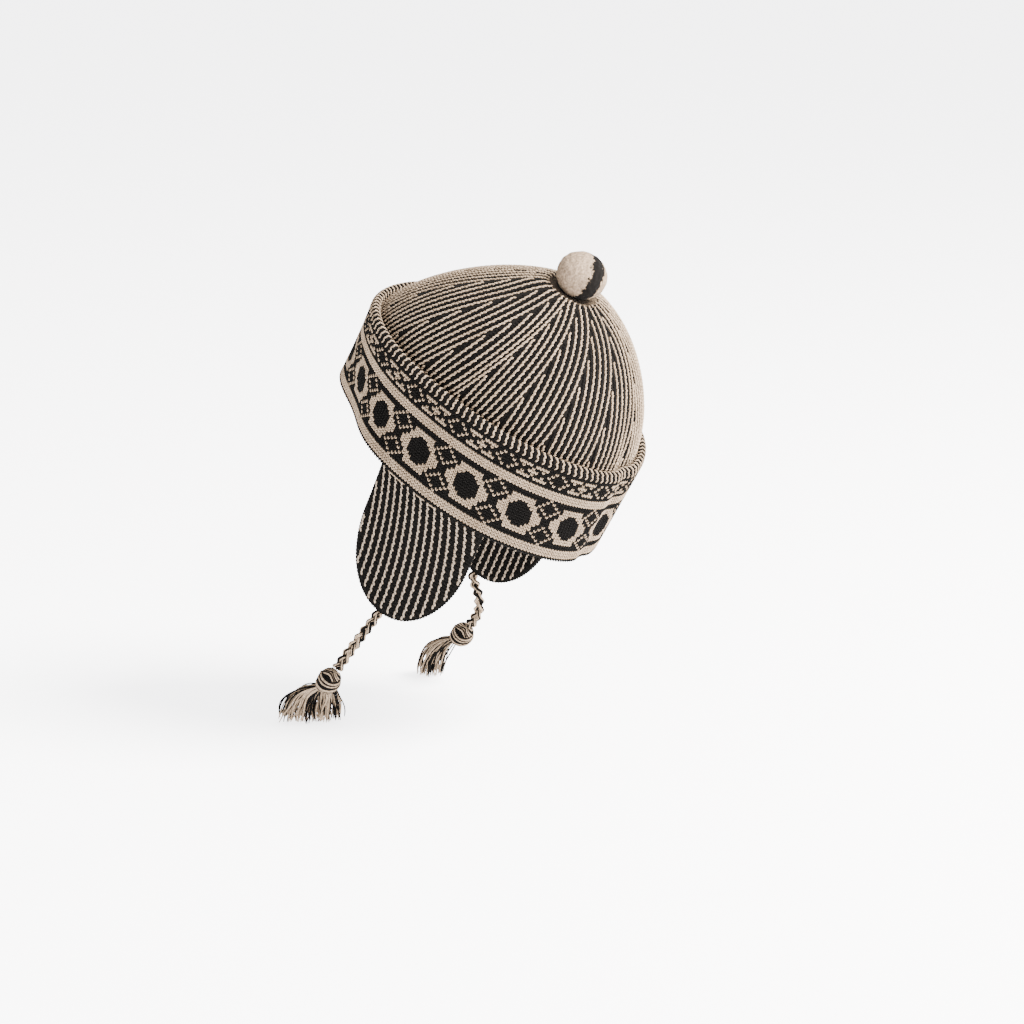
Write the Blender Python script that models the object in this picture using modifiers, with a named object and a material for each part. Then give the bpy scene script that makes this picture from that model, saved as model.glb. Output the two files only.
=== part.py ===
"""Knitted beanie with a turned-up cuff, two earflaps, braided ties with tassels and a felted ball on top.

The hat is modelled as a head holds it: tilted back, its flaps hanging down and its ties reaching the table.
The origin is the centre of the head opening, the front faces -Y, the wearer's left is +X, +Z is up.
"""
import math

import bmesh
import bpy
from mathutils import Matrix, Vector

MM = 0.001

# Head opening, measured on the cuff's outer face at its lower edge
SIDE_HALF_WIDTH = 74.0 * MM
FRONT_HALF_LENGTH = 95.7 * MM
BACK_HALF_LENGTH = 98.7 * MM
FRONT_SQUARENESS = 2.3
BACK_SQUARENESS = 2.2
HAT_TILT = math.radians(31.1)

# Turned-up cuff
CUFF_HEIGHT = 64.4 * MM
CUFF_WALL = 3.2 * MM
ROLL_WIDTH = 6.2 * MM
ROLL_HEIGHT = 6.0 * MM
ROLL_DROP = 2.0 * MM
FOLD_ROUNDING = 1.4 * MM
CUFF_EDGE_INSET = 0.5 * MM
TEMPLE_HOLLOW = 0.2
TEMPLE_ANGLE = math.radians(135)
TEMPLE_SPREAD = math.radians(32)
BACK_DIP = 3.2 * MM
BACK_DIP_SPREAD = math.radians(25)
SEAM_CREASE = 1.6 * MM
SEAM_CREASE_SPREAD = math.radians(3.5)

# Crown
CROWN_WALL = 2.6 * MM
CROWN_HEIGHT = 134.6 * MM
CROWN_BACK_SHIFT = 11.4 * MM
CROWN_START = 2.9 * MM
LENGTH_ROUNDNESS = 1.48
WIDTH_ROUNDNESS = 2.9
TOP_ROUNDNESS = 1.5
GATHER_RADIUS = 19.0 * MM
GATHER_DEPTH = 7.1 * MM
PUCKER_HEIGHT = 1.6 * MM
PUCKER_RADIUS = 9.0 * MM
PUCKER_REACH = 27.0 * MM
PUCKER_ANGLE = math.radians(128)

# Earflaps
FLAP_BACK_SHIFT = 22.0 * MM
FLAP_HALF_WIDTH = 37.3 * MM
FLAP_LENGTH = 89.5 * MM
FLAP_STRAIGHT = 37.0 * MM
FLAP_ROUNDNESS = 2.13
FLAP_BACK_SLANT = 0.032
FLAP_WALL = 2.6 * MM
FLAP_INWARD_LEAN = 12.0 * MM
FLAP_FLATTENING = 0.6
FLAP_SET_IN = 0.4 * MM
FLAP_TOP = 1.7 * MM
FLAP_EDGE_BEVEL = 0.7 * MM

# Pompom
POMPOM_RADIUS = 15.0 * MM
POMPOM_SQUASH = 0.9
POMPOM_RISE = 6.8 * MM

# Ties, knots and tassels
TIE_DIAMETER = 6.4 * MM
KNOT_RADIUS = 7.6 * MM
KNOT_LENGTH = 9.6 * MM
KNOT_GROOVE = 0.9 * MM
LOCK_RADIUS = 3.6 * MM
TASSEL_HEAD_RADIUS = 4.6 * MM
TABLE_Z = -166.0 * MM

CLEARANCE = 0.3 * MM
WALL_GAP = 0.4 * MM

# Mesh fineness
AROUND = 60
WALL_ROWS = 5
ROLL_STEPS = 6
DOME_ROWS = 16
DOME_CROWDING = 2.2
FLAP_COLUMNS = 14
FLAP_STRAIGHT_ROWS = 3
FLAP_ROUND_ROWS = 8

# Outer face of the cuff at two heights, as shares of the named sizes
WALL_SECTIONS = (
    # height, front, back, side
    (0.0, 1.0, 1.0, 1.0),
    (1.0, 0.945, 0.987, 1.01),
)

# Routes of the ties, chosen by hand as steps from the flap's tip; the knot hangs on the last point
TIE_ROUTES = {
    "left": (
        # side_mm, back_mm, up_mm
        (0.0, 0.0, 0.0),
        (0.0, -1.6, -2.6),
        (0.5, -4.6, -7.0),
        (1.5, -11.3, -15.8),
        (2.5, -18.3, -25.2),
        (3.5, -24.7, -34.0),
        (4.1, -28.3, -39.0),
    ),
    "right": (
        (0.0, 0.0, 0.0),
        (0.0, -1.6, -2.6),
        (2.2, -1.4, -8.6),
        (5.8, -0.8, -17.6),
        (8.4, -2.6, -27.0),
        (9.8, -7.0, -34.2),
        (10.8, -11.0, -38.4),
    ),
}

# Footprint of each tassel on the table: centre, half width, half depth and turn
TASSELS = {
    "left": {"centre": (48.0, -79.5), "reach": 19.5, "depth": 13.0, "turn": 121.0},
    "right": {"centre": (-75.0, -70.0), "reach": 9.0, "depth": 10.0, "turn": 121.0},
}

# Locks of a tassel: place round the footprint, reach share, tip height above the table, thickness share
TASSEL_LOCKS = (
    # turn_degrees, reach, lift_mm, thickness
    (0, 1.00, 1.4, 0.95),
    (42, 0.95, 0.4, 1.00),
    (85, 0.90, 0.2, 1.05),
    (130, 1.00, 1.2, 0.90),
    (172, 1.08, 5.0, 1.00),
    (212, 0.98, 2.6, 0.90),
    (255, 0.85, 0.6, 1.05),
    (305, 0.95, 1.8, 1.00),
    (20, 0.35, 0.0, 1.20),
)

SIDE = Vector((1, 0, 0))
BACK = Vector((0, math.cos(HAT_TILT), -math.sin(HAT_TILT)))
AXIS = Vector((0, math.sin(HAT_TILT), math.cos(HAT_TILT)))


def clear_scene():
    for thing in list(bpy.data.objects):
        bpy.data.objects.remove(thing)


def power(value, exponent):
    return math.copysign(abs(value) ** exponent, value)


def bump(value, centre, spread):
    return math.exp(-((value - centre) / spread) ** 2)


def half_sizes(height):
    """Front, back and side half sizes of the cuff's outer face at a height above its lower edge."""
    low, high = WALL_SECTIONS
    share = height / CUFF_HEIGHT
    mixed = [a + (b - a) * share for a, b in zip(low[1:], high[1:])]
    return FRONT_HALF_LENGTH * mixed[0], BACK_HALF_LENGTH * mixed[1], SIDE_HALF_WIDTH * mixed[2]


def seam_side_distance(angle):
    """Unsigned angle from the back seam."""
    return abs(math.atan2(math.sin(angle), math.cos(angle)))


def wall_point(angle, inset, height):
    """A point of the hat's wall: angle from the back seam, inset from the cuff's outer face, height."""
    front, back, side = half_sizes(max(height, 0.0))
    away = seam_side_distance(angle)
    along = (back if math.cos(angle) > 0 else front) - inset
    squareness = BACK_SQUARENESS if math.cos(angle) > 0 else FRONT_SQUARENESS
    low_share = 1.0 - min(max(height / CUFF_HEIGHT, 0.0), 1.0)
    hollow = 1.0 - TEMPLE_HOLLOW * bump(away, TEMPLE_ANGLE, TEMPLE_SPREAD) * low_share
    crease = SEAM_CREASE * bump(away, 0.0, SEAM_CREASE_SPREAD)
    length = (along - crease) * power(math.cos(angle), 2 / squareness) * hollow
    width = (side - inset) * power(math.sin(angle), 2 / squareness) * hollow
    dip = BACK_DIP * bump(away, 0.0, BACK_DIP_SPREAD)
    return BACK * length + SIDE * width + AXIS * (height - dip)


def crown_inset(height):
    """How far the crown's outer face lies inside the cuff's outer face."""
    share = min(max(height / (CUFF_HEIGHT - ROLL_HEIGHT), 0.0), 1.0)
    return (CUFF_WALL + (ROLL_WIDTH - CUFF_WALL) * share) + WALL_GAP


def wall_heights(start):
    """Heights of the wall's rows, the same in the crown and the cuff apart from the first."""
    top = CUFF_HEIGHT - ROLL_HEIGHT
    return [start] + [top * row / WALL_ROWS for row in range(1, WALL_ROWS + 1)]


def dome_point(angle, share):
    """A point of the crown above the cuff; share runs from 0 at the roll to 1 at the top."""
    base = CUFF_HEIGHT - ROLL_HEIGHT
    inset = crown_inset(base)
    front, back, side = half_sizes(base)
    along = (back if math.cos(angle) > 0 else front) - inset
    squareness = BACK_SQUARENESS if math.cos(angle) > 0 else FRONT_SQUARENESS
    squareness += (2.0 - squareness) * share
    shrink_length = (1 - share ** LENGTH_ROUNDNESS) ** (1 / TOP_ROUNDNESS)
    shrink_width = (1 - share ** WIDTH_ROUNDNESS) ** (1 / TOP_ROUNDNESS)
    crease = SEAM_CREASE * bump(seam_side_distance(angle), 0.0, SEAM_CREASE_SPREAD) * (1 - share) ** 2
    length = (along - crease) * shrink_length * power(math.cos(angle), 2 / squareness)
    width = (side - inset) * shrink_width * power(math.sin(angle), 2 / squareness)
    height = base + (CROWN_HEIGHT - base) * share
    away = math.hypot(length, width)
    if away < GATHER_RADIUS:
        height -= GATHER_DEPTH * (1 - (away / GATHER_RADIUS) ** 2) ** 2
    pucker_length = PUCKER_REACH * math.cos(PUCKER_ANGLE)
    pucker_width = PUCKER_REACH * math.sin(PUCKER_ANGLE)
    height += PUCKER_HEIGHT * bump(math.hypot(length - pucker_length, width - pucker_width), 0.0, PUCKER_RADIUS)
    seam_dip = BACK_DIP * bump(seam_side_distance(angle), 0.0, BACK_DIP_SPREAD) * (1 - share) ** 3
    return BACK * (length + CROWN_BACK_SHIFT * share) + SIDE * width + AXIS * (height - seam_dip)


def dome_shares(rows):
    """Heights of the dome's rows, closer together towards the top."""
    return [1 - (1 - row / rows) ** DOME_CROWDING for row in range(1, rows + 1)]


def new_object(name, mesh, collection, material):
    thing = bpy.data.objects.new(name, mesh)
    collection.objects.link(thing)
    mesh.materials.append(material)
    return thing


def loft(name, rings, close_rings=True, close_loft=False, cap_point=None):
    """Faces between like-numbered points of successive rings, with an optional point that closes the end."""
    bm = bmesh.new()
    rows = [[bm.verts.new(point) for point in ring] for ring in rings]
    pairs = list(zip(rows, rows[1:]))
    if close_loft:
        pairs.append((rows[-1], rows[0]))
    for lower, upper in pairs:
        count = len(lower)
        for index in range(count if close_rings else count - 1):
            after = (index + 1) % count
            bm.faces.new((lower[index], lower[after], upper[after], upper[index]))
    if cap_point is not None:
        tip = bm.verts.new(cap_point)
        last = rows[-1]
        for index in range(len(last)):
            bm.faces.new((last[index], last[(index + 1) % len(last)], tip))
    bmesh.ops.remove_doubles(bm, verts=bm.verts, dist=0.00001)
    bmesh.ops.recalc_face_normals(bm, faces=bm.faces)
    mesh = bpy.data.meshes.new(name)
    bm.to_mesh(mesh)
    bm.free()
    mesh.shade_smooth()
    return mesh


def angles_around(count):
    return [2 * math.pi * index / count for index in range(count)]


def make_crown(collection, material):
    """The dome and the wall that runs down inside the cuff, one knitted shell."""
    angles = angles_around(AROUND)
    rings = []
    for height in wall_heights(CROWN_START):
        rings.append([wall_point(angle, crown_inset(height), height) for angle in angles])
    shares = dome_shares(DOME_ROWS)
    for share in shares[:-1]:
        rings.append([dome_point(angle, share) for angle in angles])
    mesh = loft("crown", rings, cap_point=dome_point(0.0, shares[-1]))
    crown = new_object("crown", mesh, collection, material)
    wall = crown.modifiers.new("wall", "SOLIDIFY")
    wall.thickness = CROWN_WALL
    wall.offset = -1.0
    wall.use_even_offset = True
    return crown


def cuff_profile():
    """Closed profile of the turned-up cuff as (inset, height) pairs, outer face upwards, inner face down."""
    roll_start = CUFF_HEIGHT - ROLL_HEIGHT
    outer = [(0.0, height) for height in wall_heights(FOLD_ROUNDING)]
    roll = []
    for step in range(1, ROLL_STEPS):
        turn = math.pi * step / ROLL_STEPS
        inset = ROLL_WIDTH * (1 - math.cos(turn)) / 2
        drop = ROLL_DROP * step / ROLL_STEPS
        height = roll_start + ROLL_HEIGHT * math.sin(turn) - drop * math.sin(turn / 2)
        roll.append((inset, height))
    inner = [(crown_inset(height) - WALL_GAP, height) for height in reversed(wall_heights(FOLD_ROUNDING))]
    fold = [(CUFF_WALL - CUFF_EDGE_INSET * 2, 0.0), (CUFF_EDGE_INSET * 2, 0.0)]
    return outer + roll + inner + fold


def make_cuff(collection, material):
    """The turned-up band: patterned wall, rolled top edge and the fold at the head opening."""
    rings = []
    for angle in angles_around(AROUND):
        rings.append([wall_point(angle, inset, height) for inset, height in cuff_profile()])
    return new_object("cuff", loft("cuff", rings, close_loft=True), collection, material)


def wall_side(along, inset, height):
    """How far to the side the wall's face is where its distance along the hat's length is given."""
    low, high = 0.0, math.pi
    for _ in range(40):
        angle = (low + high) / 2
        if wall_point(angle, inset, height).dot(BACK) > along:
            low = angle
        else:
            high = angle
    return wall_point(low, inset, height).dot(SIDE)


def flap_half_width(down):
    """Half width of the flap at a distance below its seam: straight sides and a round end."""
    if down <= FLAP_STRAIGHT:
        return FLAP_HALF_WIDTH
    share = (down - FLAP_STRAIGHT) / (FLAP_LENGTH - FLAP_STRAIGHT)
    return FLAP_HALF_WIDTH * max(1 - share ** 2, 0.0) ** (1 / FLAP_ROUNDNESS)


def flap_point(across, down):
    """A point of the left flap's outer face: across from its middle towards the back, down below its seam."""
    inset = crown_inset(0.0) + FLAP_SET_IN
    start = FLAP_TOP
    share = down / FLAP_LENGTH
    on_rim = wall_side(FLAP_BACK_SHIFT + across, inset, start)
    middle = wall_side(FLAP_BACK_SHIFT, inset, start)
    lean = FLAP_INWARD_LEAN * (1 - (1 - share) ** 2)
    side = on_rim + (middle - on_rim) * FLAP_FLATTENING * share - lean
    drop = math.sqrt(down ** 2 - lean ** 2)
    along = FLAP_BACK_SHIFT + across + FLAP_BACK_SLANT * down
    return SIDE * side + BACK * along + AXIS * (start - drop)


def flap_rows():
    rows = [FLAP_STRAIGHT * row / FLAP_STRAIGHT_ROWS for row in range(FLAP_STRAIGHT_ROWS + 1)]
    for row in range(1, FLAP_ROUND_ROWS):
        turn = math.pi / 2 * row / FLAP_ROUND_ROWS
        rows.append(FLAP_STRAIGHT + (FLAP_LENGTH - FLAP_STRAIGHT) * math.sin(turn))
    return rows


def make_flap(side, collection, material):
    """One rounded earflap, knitted on at the crown's lower edge and hidden at its top by the cuff."""
    mirror = 1 if side == "left" else -1
    rows = []
    for down in flap_rows():
        half = flap_half_width(down)
        row = []
        for column in range(FLAP_COLUMNS + 1):
            point = flap_point(half * (2 * column / FLAP_COLUMNS - 1), down)
            point.x *= mirror
            row.append(point)
        rows.append(row)
    tip = flap_point(0.0, FLAP_LENGTH)
    tip.x *= mirror
    rows.append([tip.copy() for _ in range(FLAP_COLUMNS + 1)])
    name = side + "_flap"
    mesh = loft(name, rows, close_rings=False)
    outward = sum((face.normal * face.area for face in mesh.polygons), Vector())
    if outward.x * mirror < 0:
        mesh.flip_normals()
    flap = new_object(name, mesh, collection, material)
    wall = flap.modifiers.new("wall", "SOLIDIFY")
    wall.thickness = FLAP_WALL
    wall.offset = -1.0
    edge = flap.modifiers.new("soft edge", "BEVEL")
    edge.width = FLAP_EDGE_BEVEL
    edge.segments = 1
    edge.limit_method = "ANGLE"
    edge.angle_limit = math.radians(60)
    return flap


def make_pompom(collection, material):
    """The felted ball, sewn into the gathered top."""
    bm = bmesh.new()
    centre = BACK * CROWN_BACK_SHIFT + AXIS * (CROWN_HEIGHT + POMPOM_RISE)
    squash = Matrix.Scale(POMPOM_SQUASH, 4, AXIS)
    bmesh.ops.create_icosphere(bm, subdivisions=3, radius=POMPOM_RADIUS,
                               matrix=Matrix.Translation(centre) @ squash)
    mesh = bpy.data.meshes.new("pompom")
    bm.to_mesh(mesh)
    bm.free()
    mesh.shade_smooth()
    return new_object("pompom", mesh, collection, material)


def smooth_route(points, spacing):
    """Evenly spaced points on a smooth curve through the route's own points."""
    ends = [points[0] * 2 - points[1]] + points + [points[-1] * 2 - points[-2]]
    dense = []
    for index in range(1, len(ends) - 2):
        before, start, end, after = ends[index - 1:index + 3]
        for step in range(20):
            t = step / 20
            dense.append(0.5 * (2 * start + (end - before) * t
                                + (2 * before - 5 * start + 4 * end - after) * t ** 2
                                + (3 * start - before - 3 * end + after) * t ** 3))
    dense.append(points[-1])
    total = sum((b - a).length for a, b in zip(dense, dense[1:]))
    count = max(int(round(total / spacing)), 2)
    step_length = total / count
    route = [dense[0]]
    walked = 0.0
    for a, b in zip(dense, dense[1:]):
        gap = (b - a).length
        while len(route) < count and walked + gap >= step_length * len(route):
            route.append(a.lerp(b, (step_length * len(route) - walked) / gap))
        walked += gap
    route.append(dense[-1])
    return route


def route_of(side):
    """The tie's own points: it starts one clearance below the middle of the flap's tip."""
    mirror = 1 if side == "left" else -1
    tip = flap_point(0.0, FLAP_LENGTH) - SIDE * (FLAP_WALL / 2) - AXIS * CLEARANCE
    points = [tip + Vector(step) * MM for step in TIE_ROUTES[side]]
    return [Vector((point.x * mirror, point.y, point.z)) for point in points]


def tube_mesh(name, points, radii, sides_resolution):
    """A closed tube along points, with its own radius at each."""
    curve = bpy.data.curves.new(name, "CURVE")
    curve.dimensions = "3D"
    curve.bevel_depth = 1.0
    curve.bevel_resolution = sides_resolution
    curve.use_fill_caps = True
    spline = curve.splines.new("POLY")
    spline.points.add(len(points) - 1)
    for spot, point, radius in zip(spline.points, points, radii):
        spot.co = (*point, 1.0)
        spot.radius = radius
    holder = bpy.data.objects.new(name, curve)
    bpy.context.scene.collection.objects.link(holder)
    bpy.context.view_layer.update()
    evaluated = holder.evaluated_get(bpy.context.evaluated_depsgraph_get())
    mesh = bpy.data.meshes.new_from_object(evaluated)
    bpy.data.objects.remove(holder)
    bpy.data.curves.remove(curve)
    bm = bmesh.new()
    bm.from_mesh(mesh)
    bmesh.ops.remove_doubles(bm, verts=bm.verts, dist=0.00001)
    bmesh.ops.recalc_face_normals(bm, faces=bm.faces)
    bm.to_mesh(mesh)
    bm.free()
    return mesh


def make_tie(side, collection, material):
    """The braided tie as a plain tube from the flap's tip to the knot."""
    curve = bpy.data.curves.new(side + "_tie", "CURVE")
    curve.dimensions = "3D"
    curve.bevel_depth = TIE_DIAMETER / 2
    curve.bevel_resolution = 2
    curve.use_fill_caps = True
    points = smooth_route(route_of(side), TIE_DIAMETER * 0.6)
    spline = curve.splines.new("POLY")
    spline.points.add(len(points) - 1)
    for spot, point in zip(spline.points, points):
        spot.co = (*point, 1.0)
    curve.materials.append(material)
    tie = bpy.data.objects.new(side + "_tie", curve)
    collection.objects.link(tie)
    return tie


def knot_frame(side):
    """Centre of the knot and the direction in which the tie runs into it."""
    route = route_of(side)
    heading = (route[-1] - route[-2]).normalized()
    centre = route[-1] + heading * (KNOT_LENGTH + CLEARANCE)
    return centre, heading


def make_knot(side, collection, material):
    """The overhand knot: a round lump with the grooves between its wraps."""
    centre, heading = knot_frame(side)
    turn = heading.to_track_quat("Z", "Y").to_matrix().to_4x4()
    bm = bmesh.new()
    bmesh.ops.create_uvsphere(bm, u_segments=18, v_segments=11, radius=1.0)
    for vert in bm.verts:
        around = math.atan2(vert.co.y, vert.co.x)
        waist = math.sqrt(max(1 - vert.co.z ** 2, 0.0))
        groove = KNOT_GROOVE * waist * (0.5 + 0.5 * math.sin(2 * around + 4.0 * vert.co.z))
        flat = KNOT_RADIUS - groove
        vert.co = Vector((vert.co.x * flat, vert.co.y * flat, vert.co.z * KNOT_LENGTH))
    bmesh.ops.transform(bm, matrix=Matrix.Translation(centre) @ turn, verts=bm.verts)
    mesh = bpy.data.meshes.new(side + "_knot")
    bm.to_mesh(mesh)
    bm.free()
    mesh.shade_smooth()
    return new_object(side + "_knot", mesh, collection, material)


def lock_points(root, heading, tip):
    """Points of one lock: out of the knot along its heading, then down to its tip on the table."""
    reach = (tip - root).length
    points = []
    for step in range(6):
        t = step / 5
        bend = root + heading * (reach * 0.55)
        points.append(root * (1 - t) ** 2 + bend * (2 * t * (1 - t)) + tip * t ** 2)
    return points


def make_tassel(side, collection, material):
    """The loose yarn ends below the knot: locks fused to a round head, resting on the table."""
    centre, heading = knot_frame(side)
    root = centre + heading * (KNOT_LENGTH + CLEARANCE + TASSEL_HEAD_RADIUS)
    place = TASSELS[side]
    foot = Vector((place["centre"][0] * MM, place["centre"][1] * MM, TABLE_Z))
    turn = math.radians(place["turn"])
    wide = Vector((math.cos(turn), math.sin(turn), 0))
    deep = Vector((-math.sin(turn), math.cos(turn), 0))
    bm = bmesh.new()
    bmesh.ops.create_icosphere(bm, subdivisions=2, radius=TASSEL_HEAD_RADIUS,
                               matrix=Matrix.Translation(root))
    mesh = bpy.data.meshes.new(side + "_tassel")
    bm.to_mesh(mesh)
    bm.free()
    tassel = new_object(side + "_tassel", mesh, collection, material)
    cutters = bpy.data.collections["cutters"]
    for number, (degrees, reach, lift, thickness) in enumerate(TASSEL_LOCKS):
        angle = math.radians(degrees)
        radius = LOCK_RADIUS * thickness
        offset = wide * (math.cos(angle) * place["reach"] * MM * reach)
        offset += deep * (math.sin(angle) * place["depth"] * MM * reach)
        tip = foot + offset + Vector((0, 0, lift * MM + radius * 0.62))
        spread = (tip - root).normalized() * (TASSEL_HEAD_RADIUS * 0.35)
        points = lock_points(root + spread, heading, tip)
        radii = [radius * share for share in (0.7, 0.95, 1.08, 1.05, 0.9, 0.6)]
        lock = bpy.data.objects.new(f"{side}_lock_{number}", tube_mesh(f"{side}_lock_{number}", points, radii, 1))
        cutters.objects.link(lock)
        lock.hide_render = True
        lock.display_type = "WIRE"
        join = tassel.modifiers.new(f"lock {number}", "BOOLEAN")
        join.operation = "UNION"
        join.solver = "EXACT"
        join.object = lock
    return tassel


def make_material(name, colour, roughness):
    material = bpy.data.materials.new(name)
    material.use_nodes = True
    shader = material.node_tree.nodes["Principled BSDF"]
    shader.inputs["Base Color"].default_value = (*colour, 1.0)
    shader.inputs["Roughness"].default_value = roughness
    shader.inputs["Metallic"].default_value = 0.0
    return material


def build():
    clear_scene()
    collection = bpy.data.collections.new("earflap_beanie")
    bpy.context.scene.collection.children.link(collection)
    cutters = bpy.data.collections.new("cutters")
    bpy.context.scene.collection.children.link(cutters)
    make_crown(collection, make_material("crown knit", (0.16, 0.14, 0.12), 0.9))
    make_cuff(collection, make_material("cuff knit", (0.24, 0.20, 0.17), 0.9))
    make_pompom(collection, make_material("pompom felt", (0.55, 0.45, 0.36), 0.95))
    for side in ("left", "right"):
        make_flap(side, collection, make_material(side + " flap knit", (0.14, 0.12, 0.11), 0.9))
        make_tie(side, collection, make_material(side + " tie yarn", (0.30, 0.26, 0.22), 0.9))
        make_knot(side, collection, make_material(side + " knot yarn", (0.30, 0.26, 0.22), 0.9))
        make_tassel(side, collection, make_material(side + " tassel yarn", (0.30, 0.26, 0.22), 0.9))


build()
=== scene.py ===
"""Looks of the knitted beanie with earflaps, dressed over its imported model.

The hat is knitted in two wools, beige and black. Each visible stitch, rib and yarn is its own relief on the
packed shells: the patterned cuff, the ribbed crown and flaps, the braided ties, their knots and tassels.
"""
import math

import bpy
import numpy as np
from mathutils import Matrix, Vector


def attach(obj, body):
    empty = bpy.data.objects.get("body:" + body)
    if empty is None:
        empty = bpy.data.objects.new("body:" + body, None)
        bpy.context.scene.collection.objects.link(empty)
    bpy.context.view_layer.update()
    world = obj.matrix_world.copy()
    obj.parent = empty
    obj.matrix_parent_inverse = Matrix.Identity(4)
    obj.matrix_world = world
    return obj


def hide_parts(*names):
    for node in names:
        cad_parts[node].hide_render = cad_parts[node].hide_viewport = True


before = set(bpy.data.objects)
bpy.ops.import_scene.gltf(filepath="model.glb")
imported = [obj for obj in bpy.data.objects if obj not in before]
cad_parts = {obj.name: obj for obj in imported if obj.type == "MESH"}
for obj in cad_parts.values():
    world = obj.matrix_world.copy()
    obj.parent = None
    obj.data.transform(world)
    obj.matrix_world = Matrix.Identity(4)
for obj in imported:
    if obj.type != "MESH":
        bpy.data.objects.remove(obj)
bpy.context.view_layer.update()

MM = 0.001

# Camera: a little above the hat, behind the wearer's left shoulder, at the distance that gives the
# same narrowing of the far side as the photograph.
VIEW_AZIMUTH = math.radians(120.75)
VIEW_ELEVATION = math.radians(13.0)
VIEW_TARGET = Vector((-5.93, 32.22, -32.46)) * MM
VIEW_DISTANCE = 1.8
VIEW_LENS = 105.47
VIEW_SENSOR_WIDTH = 36.0
VIEW_CLIP_END = 100.0

toward_camera = Vector((
    math.sin(VIEW_AZIMUTH) * math.cos(VIEW_ELEVATION),
    -math.cos(VIEW_AZIMUTH) * math.cos(VIEW_ELEVATION),
    math.sin(VIEW_ELEVATION),
))
view_right = Vector((math.cos(VIEW_AZIMUTH), math.sin(VIEW_AZIMUTH), 0.0))
view_up = toward_camera.cross(view_right)
camera_data = bpy.data.cameras.new("camera")
camera_data.sensor_width = VIEW_SENSOR_WIDTH
camera_data.lens = VIEW_LENS
camera_data.clip_end = VIEW_CLIP_END
camera = bpy.data.objects.new("camera", camera_data)
camera.matrix_world = Matrix.Translation(VIEW_TARGET + toward_camera * VIEW_DISTANCE) @ Matrix(
    (view_right, view_up, toward_camera)).transposed().to_4x4()
bpy.context.scene.collection.objects.link(camera)
bpy.context.scene.camera = camera


# Ties: a flat braid of three strands, each strand six wool yarns, three beige and three black. It leaves the
# tip of its flap and ends in an overhand knot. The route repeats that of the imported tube.
TILT = math.radians(31.1)
SIDE = np.array((1.0, 0.0, 0.0))
BACK = np.array((0.0, math.cos(TILT), -math.sin(TILT)))
AXIS = np.array((0.0, math.sin(TILT), math.cos(TILT)))
TIE_START = np.array((54.817, -23.799, -87.588))
TIE_STEPS = {
    "left": ((0.0, 0.0, 0.0), (0.0, -1.6, -2.6), (0.5, -4.6, -7.0), (1.5, -11.3, -15.8),
             (2.5, -18.3, -25.2), (3.5, -24.7, -34.0), (4.1, -28.3, -39.0)),
    "right": ((0.0, 0.0, 0.0), (0.0, -1.6, -2.6), (2.2, -1.4, -8.6), (5.8, -0.8, -17.6),
              (8.4, -2.6, -27.0), (9.8, -7.0, -34.2), (10.8, -11.0, -38.4)),
}
ROUTE_SPACING = 1.0
CURVE_STEPS = 20
BEIGE = 0
BLACK = 1
BRAID_STRANDS = 3
BRAID_PERIOD = 19.0
BRAID_HALF_WIDTH = 2.3
BRAID_HALF_DEPTH = 1.1
BRAID_START_SHARE = 0.85
BRAID_YARN_RADIUS = 0.5
STRAND_SPREAD = 0.95
STRAND_TWIST = 0.5
STRAND_COLOURS = (BLACK, BLACK, BEIGE, BLACK, BEIGE, BEIGE)
YARN_END_SHARE = 0.55
BEIGE_LIGHT = (0.36, 0.27, 0.19, 1.0)
BEIGE_DARK = (0.14, 0.101, 0.066, 1.0)
BLACK_LIGHT = (0.0042, 0.0036, 0.0032, 1.0)
BLACK_DARK = (0.0018, 0.0016, 0.0015, 1.0)
WOOL_ROUGHNESS = 0.93
WOOL_SPECULAR = 0.03
WOOL_SHEEN = 0.01
WOOL_SHEEN_ROUGHNESS = 0.5
FLECK_SCALE = 1100.0
FLECK_CONTRAST = 3.0
FLECK_LEVEL = 1.05
BLOTCH_SCALE = 55.0
BLOTCH_CONTRAST = 0.6
FIBRE_SCALE = 3200.0
FIBRE_RELIEF = 0.25
FIBRE_HEIGHT = 0.3


class Shade:
    """One socket of a material's nodes; arithmetic on it adds Math nodes."""

    def __init__(self, tree, socket=None):
        self.tree = tree
        self.socket = socket

    def add(self, kind, settings=None, inputs=None, output=0):
        """A node of any kind: its settings first, then the values or links of its sockets."""
        node = self.tree.nodes.new(kind)
        for setting, value in (settings or {}).items():
            setattr(node, setting, value)
        for key, value in (inputs or {}).items():
            if isinstance(value, Shade):
                self.tree.links.new(value.socket, node.inputs[key])
            else:
                node.inputs[key].default_value = value
        return Shade(self.tree, node.outputs[output])

    def math(self, operation, *values):
        return self.add("ShaderNodeMath", {"operation": operation}, dict(enumerate(values)))

    def __add__(self, other):
        return self.math("ADD", self, other)

    __radd__ = __add__

    def __sub__(self, other):
        return self.math("SUBTRACT", self, other)

    def __rsub__(self, other):
        return self.math("SUBTRACT", other, self)

    def __mul__(self, other):
        return self.math("MULTIPLY", self, other)

    __rmul__ = __mul__

    def clamped(self):
        return self.add("ShaderNodeClamp", None, {0: self})

    def along(self, direction):
        """How far this vector reaches in a fixed direction."""
        return self.add("ShaderNodeVectorMath", {"operation": "DOT_PRODUCT"},
                        {0: self, 1: tuple(direction)}, "Value")

    def mixed(self, low, high):
        """The colour low where this is 0 and the colour high where it is 1."""
        return self.add("ShaderNodeMix", {"data_type": "RGBA"}, {0: self, 6: low, 7: high}, 2)


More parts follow.
